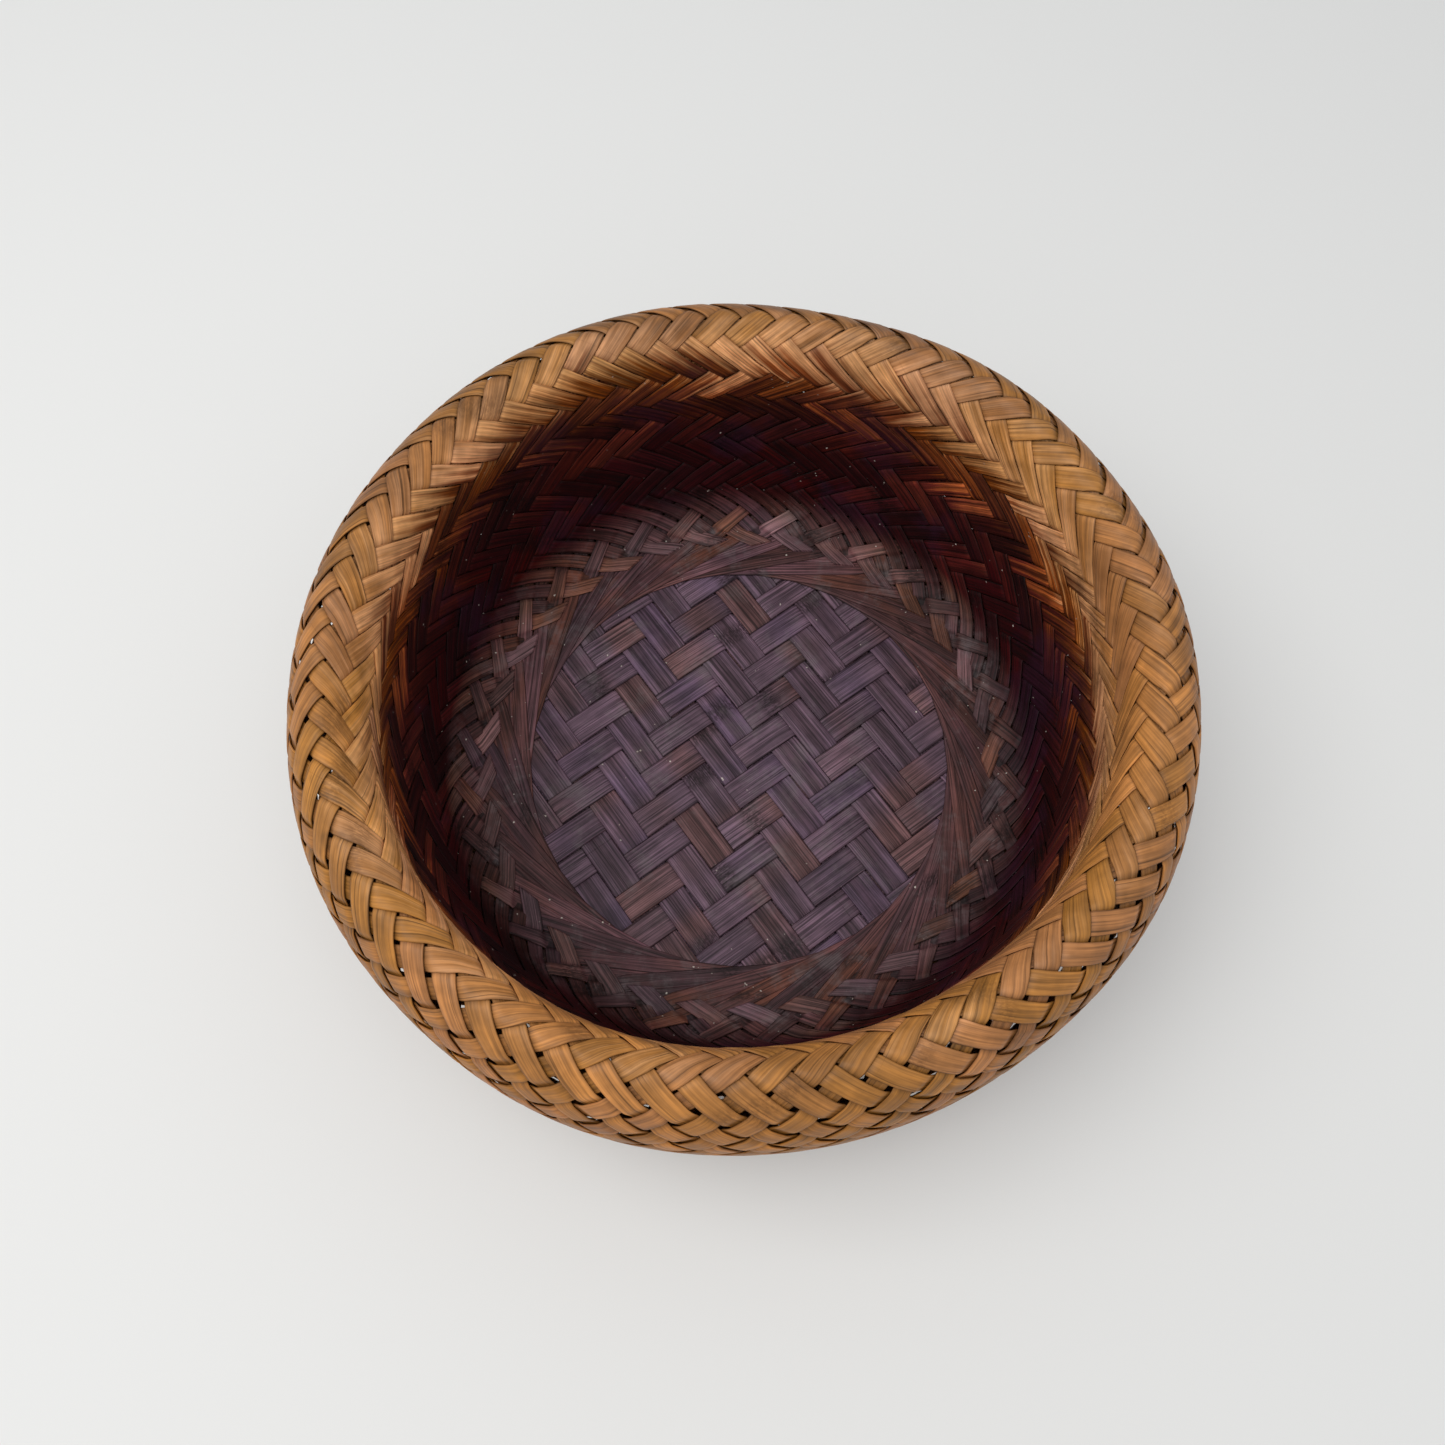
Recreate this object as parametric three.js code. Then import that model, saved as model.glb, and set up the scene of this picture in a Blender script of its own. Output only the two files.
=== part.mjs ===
// Double-walled round basket plaited from split bamboo.
//
// 33 wide splints cross in an over-two-under-two twill and make the flat floor. At the floor's edge
// every splint end turns into the side: half of the ends lean clockwise and lie on top as a ring
// round the floor, the other half lean the other way and lie beneath it. From the ring the ends run
// on as one continuous plaited wall: up the inside, over the rounded rim, down the bulging outside
// and in under the floor, where they stop in a flat turned-in foot.
//
// The floor splints are separate pieces. The plaited wall is given as smooth shells of its true
// shape and thickness, one for each region of the weave.
//
// Units are millimetres, +Z is up, and the origin is the middle of the footprint, on the ground.

import * as THREE from 'three';

// Floor splints
const SPLINT_PITCH = 13.25; // from the middle of one splint to the middle of the next
const SPLINT_WIDTH = 11.7;
const SPLINT_THICKNESS = 0.8;
const SPLINTS_ONE_WAY = 17; // the "a" splints
const SPLINTS_OTHER_WAY = 16; // the "b" splints, square to the "a" splints
const SPLINT_ANGLE = THREE.MathUtils.degToRad(36); // of the "a" splints from the X axis
const TWILL_FLOAT = 2; // splints crossed on top before going under the same number
const WEAVE_RISE = 0.6; // of an upper splint above the middle of the floor, and of a lower one below
const FLOOR_HEIGHT = 5.6; // the middle of the floor above the ground
const FLOOR_RADIUS = 114.6; // every splint ends inside this circle

// Rings of splint ends above and below the edge of the floor
const RING_INNER_RADIUS = 91.4;
const RING_OUTER_RADIUS = 113.9;
const RING_THICKNESS = 1.6;
const RING_CLEARANCE = 0.4; // between a ring and the floor splints

// Plaited wall
const WALL_THICKNESS = 2;
const SHELL_GAP = 0.4; // between neighbouring shells
const AROUND = 48; // flat facets round the basket

// Stations on the middle line of the wall as [radius, height]: up the inside, over the rim, down the
// outside and in under the floor, where the last stretch is the flat face the basket rests on.
const WALL_LINE = [
  [116.9, 9.4],
  [124.8, 18.6],
  [132.2, 43],
  [136, 73],
  [134.2, 103],
  [136.6, 115],
  [143.6, 122],
  [153.6, 117],
  [162, 100],
  [164, 76],
  [161.4, 52],
  [153.5, 30],
  [142, 13],
  [132, 4.4],
  [126, 1.8],
  [120, 1],
  [114, 1],
  [108, 1],
];

// The shells of the wall, each between two stations of the wall line, with the number of facets in
// each stretch from one station to the next.
const SHELLS = [
  { name: 'wall_inner', from: 0, to: 4, facets: 2, color: 0x4a2418 },
  { name: 'wall_rim', from: 4, to: 8, facets: 2, color: 0xb07c48 },
  { name: 'wall_outer', from: 8, to: 13, facets: 2, color: 0xa8733f },
  { name: 'wall_foot', from: 13, to: 17, facets: 1, color: 0x9a6a3c },
];

const SPLINT_COLORS = [0x6f5656, 0x7a5d5a, 0x655052];
const RING_TOP_COLOR = 0x74595a;
const RING_BOTTOM_COLOR = 0x8a6a50;

function bambooMesh(name, geometry, color) {
  const material = new THREE.MeshStandardMaterial({ color, roughness: 0.6, metalness: 0 });
  material.name = name;
  const mesh = new THREE.Mesh(geometry, material);
  mesh.name = name;
  return mesh;
}

// True where splint b[j] runs over splint a[i].
function crossesOver(i, j) {
  const period = 2 * TWILL_FLOAT;
  return (((j - i) % period) + period) % period >= TWILL_FLOAT;
}

// A flat splint centred on the origin along X. `crossings` lists the places along it, in order, as
// { at, over }: where a splint of the other set is crossed and whether this one is on top.
function splintGeometry(crossings, halfLength) {
  const ramp = (SPLINT_PITCH - SPLINT_WIDTH) / 2;
  const middle = [];
  const heightOf = (crossing) => (crossing.over ? WEAVE_RISE : -WEAVE_RISE);
  middle.push([-halfLength, heightOf(crossings[0])]);
  for (let k = 1; k < crossings.length; k += 1) {
    const before = heightOf(crossings[k - 1]);
    const after = heightOf(crossings[k]);
    if (before !== after) {
      const turn = (crossings[k - 1].at + crossings[k].at) / 2;
      middle.push([turn - ramp, before], [turn + ramp, after]);
    }
  }
  middle.push([halfLength, heightOf(crossings[crossings.length - 1])]);

  const outline = new THREE.Shape();
  const half = SPLINT_THICKNESS / 2;
  middle.forEach(([x, y], k) => (k === 0 ? outline.moveTo(x, y - half) : outline.lineTo(x, y - half)));
  middle.reverse().forEach(([x, y]) => outline.lineTo(x, y + half));
  outline.closePath();

  const geometry = new THREE.ExtrudeGeometry(outline, { depth: SPLINT_WIDTH, bevelEnabled: false });
  geometry.translate(0, 0, -SPLINT_WIDTH / 2);
  geometry.rotateX(Math.PI / 2);
  return geometry;
}

// Distance of every splint of a set from the middle of the floor.
function splintOffsets(count) {
  return Array.from({ length: count }, (_, k) => (k - (count - 1) / 2) * SPLINT_PITCH);
}

function halfLengthAt(offset) {
  const edge = Math.abs(offset) + SPLINT_WIDTH / 2;
  return Math.sqrt(FLOOR_RADIUS ** 2 - edge ** 2);
}

// One set of parallel splints along `angle`. `side` is the sign of the sideways step from one splint
// to the next, and `overAt(own, crossed)` is true where the own splint is on top.
function addSplints(group, letter, ownCount, crossedCount, angle, side, overAt) {
  const crossedOffsets = splintOffsets(crossedCount);
  splintOffsets(ownCount).forEach((offset, own) => {
    const halfLength = halfLengthAt(offset);
    const crossings = crossedOffsets
      .map((at, crossed) => ({ at, over: overAt(own, crossed) }))
      .filter((crossing) => Math.abs(crossing.at) - SPLINT_WIDTH / 2 < halfLength);
    const geometry = splintGeometry(crossings, halfLength);
    geometry.translate(0, side * offset, FLOOR_HEIGHT);
    geometry.rotateZ(angle);
    const number = String(own + 1).padStart(2, '0');
    const color = SPLINT_COLORS[(own * 2 + crossedCount) % SPLINT_COLORS.length];
    group.add(bambooMesh(`floor_splint_${letter}_${number}`, geometry, color));
  });
}

// A body of revolution from a closed outline of [radius, height] points, given anticlockwise with
// the radius to the right and the height up.
function turnedGeometry(outline) {
  const points = [...outline, outline[0]].map(([r, z]) => new THREE.Vector2(r, z));
  const geometry = new THREE.LatheGeometry(points, AROUND);
  geometry.rotateX(Math.PI / 2);
  return geometry;
}

function ringGeometry(bottom) {
  const top = bottom + RING_THICKNESS;
  return turnedGeometry([
    [RING_INNER_RADIUS, bottom],
    [RING_OUTER_RADIUS, bottom],
    [RING_OUTER_RADIUS, top],
    [RING_INNER_RADIUS, top],
  ]);
}

// Places along the wall line for one shell, counted in stations. A shell that meets a neighbour is
// cut back by half the gap.
function shellPlaces(from, to, facets) {
  const cutBack = (station, next) => {
    const [r, z] = WALL_LINE[station];
    return SHELL_GAP / 2 / Math.hypot(WALL_LINE[next][0] - r, WALL_LINE[next][1] - z);
  };
  const places = Array.from({ length: (to - from) * facets + 1 }, (_, k) => from + k / facets);
  if (from > 0) places[0] += cutBack(from, from + 1);
  if (to < WALL_LINE.length - 1) places[places.length - 1] -= cutBack(to, to - 1);
  return places;
}

// A stretch of the wall, thickened to both sides of the wall line.
function shellGeometry(line, from, to, facets) {
  const half = WALL_THICKNESS / 2;
  const left = [];
  const right = [];
  shellPlaces(from, to, facets).forEach((place) => {
    const t = place / (WALL_LINE.length - 1);
    const point = line.getPoint(t);
    const along = line.getTangent(t);
    left.push([point.x - along.y * half, point.y + along.x * half]);
    right.push([point.x + along.y * half, point.y - along.x * half]);
  });
  return turnedGeometry([...right, ...left.reverse()]);
}

const basket = new THREE.Group();
basket.name = 'bamboo_basket';

addSplints(basket, 'a', SPLINTS_ONE_WAY, SPLINTS_OTHER_WAY, SPLINT_ANGLE, 1, (i, j) => !crossesOver(i, j));
addSplints(basket, 'b', SPLINTS_OTHER_WAY, SPLINTS_ONE_WAY, SPLINT_ANGLE + Math.PI / 2, -1, (j, i) =>
  crossesOver(i, j),
);

const floorHalf = WEAVE_RISE + SPLINT_THICKNESS / 2 + RING_CLEARANCE;
basket.add(
  bambooMesh('ring_ends_upper', ringGeometry(FLOOR_HEIGHT + floorHalf), RING_TOP_COLOR),
  bambooMesh(
    'ring_ends_lower',
    ringGeometry(FLOOR_HEIGHT - floorHalf - RING_THICKNESS),
    RING_BOTTOM_COLOR,
  ),
);

const wallLine = new THREE.CatmullRomCurve3(
  WALL_LINE.map(([r, z]) => new THREE.Vector3(r, z, 0)),
  false,
  'centripetal',
);
SHELLS.forEach(({ name, from, to, facets, color }) => {
  basket.add(bambooMesh(name, shellGeometry(wallLine, from, to, facets), color));
});

export default basket;
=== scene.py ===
"""Looks for the plaited bamboo basket: every splint is woven strip by strip round the CAD frame."""

import math

import bpy
import numpy as np
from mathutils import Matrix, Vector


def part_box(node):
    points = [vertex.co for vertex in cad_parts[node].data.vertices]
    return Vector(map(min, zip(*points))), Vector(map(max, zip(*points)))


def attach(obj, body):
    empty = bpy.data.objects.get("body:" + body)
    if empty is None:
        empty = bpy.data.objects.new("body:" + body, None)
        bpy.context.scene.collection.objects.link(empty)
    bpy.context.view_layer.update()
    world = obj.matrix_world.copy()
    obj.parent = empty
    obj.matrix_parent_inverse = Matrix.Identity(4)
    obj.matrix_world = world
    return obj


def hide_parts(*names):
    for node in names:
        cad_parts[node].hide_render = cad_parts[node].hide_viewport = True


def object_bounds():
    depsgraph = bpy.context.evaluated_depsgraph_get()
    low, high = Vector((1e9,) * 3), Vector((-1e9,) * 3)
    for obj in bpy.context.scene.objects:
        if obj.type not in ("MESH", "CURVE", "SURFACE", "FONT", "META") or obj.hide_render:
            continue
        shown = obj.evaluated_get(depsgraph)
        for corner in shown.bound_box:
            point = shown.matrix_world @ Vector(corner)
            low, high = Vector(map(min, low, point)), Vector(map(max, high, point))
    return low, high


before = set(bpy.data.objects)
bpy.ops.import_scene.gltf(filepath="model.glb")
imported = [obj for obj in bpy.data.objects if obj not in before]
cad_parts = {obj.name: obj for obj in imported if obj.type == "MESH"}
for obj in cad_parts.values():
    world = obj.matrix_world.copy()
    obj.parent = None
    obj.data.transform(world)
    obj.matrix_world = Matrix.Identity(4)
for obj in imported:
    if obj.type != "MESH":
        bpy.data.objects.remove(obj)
cad_low, cad_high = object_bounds()

MM = 0.001
RADIUS = (cad_high.x - cad_low.x) / 2  # of the bulging outer wall

# ---------------------------------------------------------------------------------------------
# Sizes in millimetres
# ---------------------------------------------------------------------------------------------
floor_low, floor_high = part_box("floor_splint_a_09")
FLOOR_Z = (floor_low.z + floor_high.z) / 2 / MM  # middle of the woven floor
FLOOR_SURFACE_Z = floor_high.z / MM

SPLINT_COUNTS = {"a": 17, "b": 16}  # floor splints each way
STRIPS = 2 * sum(SPLINT_COUNTS.values())  # narrow strips leaning each way
STEP = math.pi / STRIPS  # angle between a crossing and the next along a strip
THICKNESS = 0.55  # of every strip and splint
FLOAT = 0.52  # height of an upper strip above the middle of the weave
STRIP_WIDTHS = ([0, 20, 24, 25.5, 27, 28], [7.5, 7.6, 8.4, 8.2, 7.55, 7.4])  # by row
WIDEST = 0.985  # of the space a strip has
WIDTH_CHANGE = 0.05  # of a strip's width along its length
SPLINT_PITCH = 13.25
SPLINT_WIDTH = 12.85
FLOOR_ANGLE = math.radians(36)  # direction of the a splints
FLOOR_CUT_RADIUS = 103.0
FARTHEST_SPLINT = FLOOR_CUT_RADIUS - 4  # splints farther out than this are cut as if they lay here

# The greatest share of its space that a strip takes in the first rows, for the two halves.
SHARE_ROWS = [1.5, 2.5, 6, 8]
EVEN_SHARES = [1.04, 0.84, 0.90, WIDEST]
ODD_SHARES = [0.80, 0.84, 0.90, WIDEST]

# Middle line of the weave as (radius, height), from the edge of the floor up the inside, over the
# rim, down the outside and in to the foot, which lies below the first rows beyond the ring.
WEAVE_LINE = np.array([
    (100, 8.9), (108, 9.0), (113, 9.6), (117.4, 11.6), (124.8, 18.6), (132.2, 43), (136, 73),
    (134.2, 103), (136.6, 115), (143.6, 122), (153.6, 117), (162, 100), (164, 76), (161.4, 52),
    (153.5, 30), (142, 13), (132, 4.4), (126, 1.8), (120, 1), (114, 1), (108, 1), (104, 1)
], float)

# Distance between one row of crossings and the next, from the ring outwards, and which strips
# are on top in each row: "c" the clockwise ones, "a" the anticlockwise ones.
FIRST_ROW = 9.4  # from the start of the weave line
ROW_STEPS = ([3.3, 4.3, 4.8, 4.7, 4.3, 4.3] + [4.7] * 3 + [4.9] * 4 + [5.1] * 3 + [4.4] * 3
             + [5.3] * 3 + [5.8, 5.8, 5.4, 5.3, 6.0, 6.2, 6.6])
LAST_ROW_STEP = 6.45
FOOT_MARGIN = 4  # the last row is at least this far from the end of the weave line
INNER_ROWS = "aacc" + "aaacccaaacccaaacccaaa" + "ccaa"

RING_RADIUS = 91.4  # of the circle the ring ends are tangent to
RING_BAND = 13.2  # width of a ring end

# The ring ends lie on each other like a fan. Heights in millimetres, and rises per radian.
UPPER_CLEARANCE = 0.45  # of the clockwise ends above the floor
UPPER_RISE = 3.3
LOWER_DEPTH = 2.7  # of the anticlockwise ends below the middle of the floor
LOWER_RISE = 2.6
LOWER_TOP = 8.0  # height they come up to beyond the floor's edge
LOWER_CLIMB = (101.5, 107.5)  # radii between which they come up
OVER_FAN = 0.6  # height of a float above the clockwise end it lies on

# The halves of a ring end part in the first rows. Heights in floats.
PARTING_ROWS = 4
PARTING_HIGH = 1.7
PARTING_LOW = -1.9
OVERLAP_ROWS = 2
OVERLAP_HEIGHT = 0.55
CLOCKWISE_RISE = (1.0, 1.9)  # rows between which a strip leaves the fan for the weave
ANTICLOCKWISE_RISE = (-0.75, -0.35)
OBLIQUE_ROWS = (-1.6, -0.8)  # rows between which the cut of a strip turns oblique
SQUARER = 0.45  # how much squarer the floats over the fan are cut
FLOAT_UP = (-0.54, -0.46)  # rows between which a float comes up over the fan
FLOAT_DOWN = (1.3, 1.7)  # rows between which it goes back into the weave


# ---------------------------------------------------------------------------------------------
# The weave line and its rows
# ---------------------------------------------------------------------------------------------
def catmull_rom(points, samples=24):
    """Points along a smooth line through the given ones."""
    ends = np.vstack([2 * points[0] - points[1], points, 2 * points[-1] - points[-2]])
    out = []
    for k in range(1, len(ends) - 2):
        p0, p1, p2, p3 = ends[k - 1], ends[k], ends[k + 1], ends[k + 2]
        t0 = 0.0
        t1 = t0 + math.sqrt(np.linalg.norm(p1 - p0))
        t2 = t1 + math.sqrt(np.linalg.norm(p2 - p1))
        t3 = t2 + math.sqrt(np.linalg.norm(p3 - p2))
        for t in np.linspace(t1, t2, samples, endpoint=False):
            a1 = (t1 - t) / (t1 - t0) * p0 + (t - t0) / (t1 - t0) * p1
            a2 = (t2 - t) / (t2 - t1) * p1 + (t - t1) / (t2 - t1) * p2
            a3 = (t3 - t) / (t3 - t2) * p2 + (t - t2) / (t3 - t2) * p3
            b1 = (t2 - t) / (t2 - t0) * a1 + (t - t0) / (t2 - t0) * a2
            b2 = (t3 - t) / (t3 - t1) * a2 + (t - t1) / (t3 - t1) * a3
            out.append((t2 - t) / (t2 - t1) * b1 + (t - t1) / (t2 - t1) * b2)
    out.append(points[-1])
    return np.array(out)


line = catmull_rom(WEAVE_LINE)
line_s = np.concatenate([[0], np.cumsum(np.linalg.norm(np.diff(line, axis=0), axis=1))])
line_length = line_s[-1]

row_s = [FIRST_ROW]
for step in ROW_STEPS:
    row_s.append(row_s[-1] + step)
while row_s[-1] + LAST_ROW_STEP < line_length - FOOT_MARGIN:
    row_s.append(row_s[-1] + LAST_ROW_STEP)
row_s = np.array(row_s)
ROWS = len(row_s)
row_tops = (INNER_ROWS + "ca" * ROWS)[:ROWS]


# The middles of the ring ends are tangent to a circle, and this is how far round they have come
# where they cross for the first time.
RING_MIDDLE = RING_RADIUS + RING_BAND / 2
MIDDLE_TURN = math.acos(RING_MIDDLE / np.interp(FIRST_ROW, line_s, line[:, 0]))
OUTWARD = 200  # number of points of the line before it turns over the rim
SLOPE_REACH = 0.8  # length each way over which the slope of the line is taken


def s_of_row(row):
    """Length along the weave line of a row number, which may be fractional or outside the rows."""
    row = np.asarray(row, float)
    inside = np.interp(row, np.arange(ROWS), row_s)
    ring_radius = RING_MIDDLE / np.cos(np.maximum(MIDDLE_TURN + np.minimum(row, 0) * STEP, 0))
    before = np.interp(ring_radius, line[:OUTWARD, 0], line_s[:OUTWARD])
    after = row_s[-1] + (row - ROWS + 1) * LAST_ROW_STEP
    return np.where(row < 0, before, np.where(row > ROWS - 1, after, inside))


def line_at(s):
    """Radius, height, and normal (radial, vertical) of the upper side of the weave line."""
    s = np.clip(s, 0, line_length)
    r = np.interp(s, line_s, line[:, 0])
    z = np.interp(s, line_s, line[:, 1])
    lo = np.clip(s - SLOPE_REACH, 0, line_length)
    hi = np.clip(s + SLOPE_REACH, 0, line_length)
    dr = np.interp(hi, line_s, line[:, 0]) - np.interp(lo, line_s, line[:, 0])
    dz = np.interp(hi, line_s, line[:, 1]) - np.interp(lo, line_s, line[:, 1])
    n = np.hypot(dr, dz)
    # Seen from inside the bowl the weave's upper side faces the bowl, and outside the rim it
    # faces out: that is the left-hand side of the line as it runs.
    return r, z, -dz / n, dr / n


def smooth(x, a, b):
    """0 before a, 1 after b, and an even change in between."""
    t = np.clip((x - a) / (b - a), 0, 1)
    return t * t * (3 - 2 * t)


# ---------------------------------------------------------------------------------------------
# Strips of the ring and the walls
# ---------------------------------------------------------------------------------------------
# Outline of a strip's section as (place across from -1 to 1, height in thicknesses), with rounded
# edges and a slightly crowned top, and the same outline with square edges and a flat top.
SECTION = np.array([
    (-1.0, 0.12), (-0.9, 0.43), (-0.45, 0.51), (0, 0.53), (0.45, 0.51), (0.9, 0.43), (1.0, 0.12),
    (0.95, -0.42), (0, -0.48), (-0.95, -0.42),
])
FLAT_SECTION = np.where(SECTION[:, 1] > 0, 0.5, -0.5)


def wave(seed, scale):
    """A smooth random function of one number, about -1 to 1: the sum of four waves."""
    rng = np.random.default_rng(seed)
    rates = rng.uniform(0.6, 1.8, 4) / scale
    phases = rng.uniform(0, 2 * math.pi, 4)
    return lambda x: sum(np.sin(rates[n] * np.asarray(x) + phases[n]) for n in range(4)) / 2.6


def strip_heights(clockwise, odd):
    """Heights of a strip at each row, in floats."""
    out = np.zeros(ROWS)
    for row, top in enumerate(row_tops):
        mine = (top == "c") == clockwise
        if row < PARTING_ROWS and mine:
            # Here the two halves of a ring end part: one rides high while the other dives.
            out[row] = PARTING_LOW if odd else PARTING_HIGH
        elif row < OVERLAP_ROWS:
            # The halves of neighbouring ring ends still overlap.
            out[row] = OVERLAP_HEIGHT if odd else -OVERLAP_HEIGHT
        elif row >= PARTING_ROWS:
            out[row] = 1.0 if mine else -1.0
    return out


CHANGE = 0.21  # half of the part of a row in which a strip rises or dives


def height_function(heights, bulge):
    """Height at a fractional row: level over each crossing, with a quick change in between, and a
    slight belly in the middle of each float."""
    def at(row):
        row = np.clip(row, 0, ROWS - 1)
        k = np.clip(np.floor(row).astype(int), 0, ROWS - 2)
        f = row - k
        h0, h1 = heights[k], heights[k + 1]
        blend = smooth(f, 0.5 - CHANGE, 0.5 + CHANGE)
        same = (h0 == h1) & (h0 > 0)
        return h0 + (h1 - h0) * blend + np.where(same, bulge[k] * np.sin(np.pi * f) ** 2, 0)

    return at


def row_samples():
    """Rows at which a strip's outline is placed: close together where it rises or dives."""
    within = [0.0, 0.2, 0.31, 0.4, 0.5, 0.6, 0.69, 0.8]
    return np.array([k + part for k in range(ROWS - 1) for part in within] + [ROWS - 1])


SAMPLES = row_samples()
RING_SAMPLES = np.linspace(0, 1, 15)[:-1]
LEAD_SAMPLES = np.array([-2.0, -1.6, -1.2, -1.0, -0.8, -0.6, -0.54, -0.5, -0.46, -0.4, -0.2, -0.1])
RING_START = -0.12  # a ring end begins a little before it touches the circle, in radians
FIRST_RING_ROW = -2.6  # rows given to the ring part, before the first of LEAD_SAMPLES
RING_ROW_SPAN = 0.5
LAST_RING_ROW = -2.05  # between the rows of the ring part and those of the wall
END_CLEARANCE = 0.5  # between the end of a floor splint and its last station

# Stations of a floor splint, from each boundary between the splints that cross it.
EDGE_STATIONS = (-2.2, -1.2, 0, 1.2, 2.2, SPLINT_PITCH / 2)

# Chances: how far floats bulge, over how many rows a strip sways and changes width, and how many
# rows short of the last it may end.
BULGES = (0.05, 0.4)
BELLIES = (0.0, 0.25)  # bulges of the floor splints
SWAY_ROWS = 5
BREADTH_ROWS = 7
END_SPREAD = 1.2

# The same for a floor splint, in millimetres, but for the change of width, which is a share.
FLOOR_SWAY = 0.12
FLOOR_SWAY_LENGTH = 40
FLOOR_WIDTH_CHANGE = 0.012
FLOOR_BREADTH_LENGTH = 30


def fan_height(clockwise, turn, radius):
    """Height of a ring end above the ground: each lies on the next one, like a fan. The lower
    ones lie under the floor and come up beyond its edge."""
    if clockwise:
        return FLOOR_SURFACE_Z + UPPER_CLEARANCE + UPPER_RISE * turn
    under = FLOOR_Z - LOWER_DEPTH + LOWER_RISE * turn
    return under + (LOWER_TOP - under) * smooth(radius, *LOWER_CLIMB)


def strip_share(rows, odd, breadth):
    """Width of a strip at each row, as a share of the room between its neighbours."""
    s = s_of_row(rows)
    r = line_at(s)[0]
    lean = np.arctan2(np.gradient(s, rows), STEP * r)
    room = 2 * STEP * r * np.sin(lean)
    share = np.interp(rows, *STRIP_WIDTHS) * (1 + WIDTH_CHANGE * breadth(rows)) / room
    return np.minimum(share, np.interp(rows, SHARE_ROWS, ODD_SHARES if odd else EVEN_SHARES))


def place_in_end(clockwise, half, u):
    """Place across a whole ring end, 0 to 1, of the place u across one of its halves."""
    return (half + 0.5 + u) / 2 if clockwise else (1.5 - half - u) / 2


def profile_of(rounding):
    """Heights of a section in thicknesses, rounded at its edges as far as asked."""
    return FLAT_SECTION + (SECTION[:, 1] - FLAT_SECTION) * rounding


def ring_part(clockwise, half, band_angle, rounding):
    """Points of a strip from near the tangent point out to where its rows begin, and place across."""
    place = place_in_end(clockwise, half, 0.5 * SECTION[:, 0])
    reach = RING_RADIUS + place * RING_BAND
    full = np.arccos(reach / line_at(s_of_row(LEAD_SAMPLES[0]))[0])
    turn = RING_START + RING_SAMPLES[:, None] * (full[None, :] - RING_START)
    r = reach[None, :] / np.cos(turn)
    theta = band_angle + (-1 if clockwise else 1) * turn
    z = fan_height(clockwise, turn, r) + profile_of(rounding)[None, :] * THICKNESS
    return np.stack([r * np.cos(theta), r * np.sin(theta), z], -1), place


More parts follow.
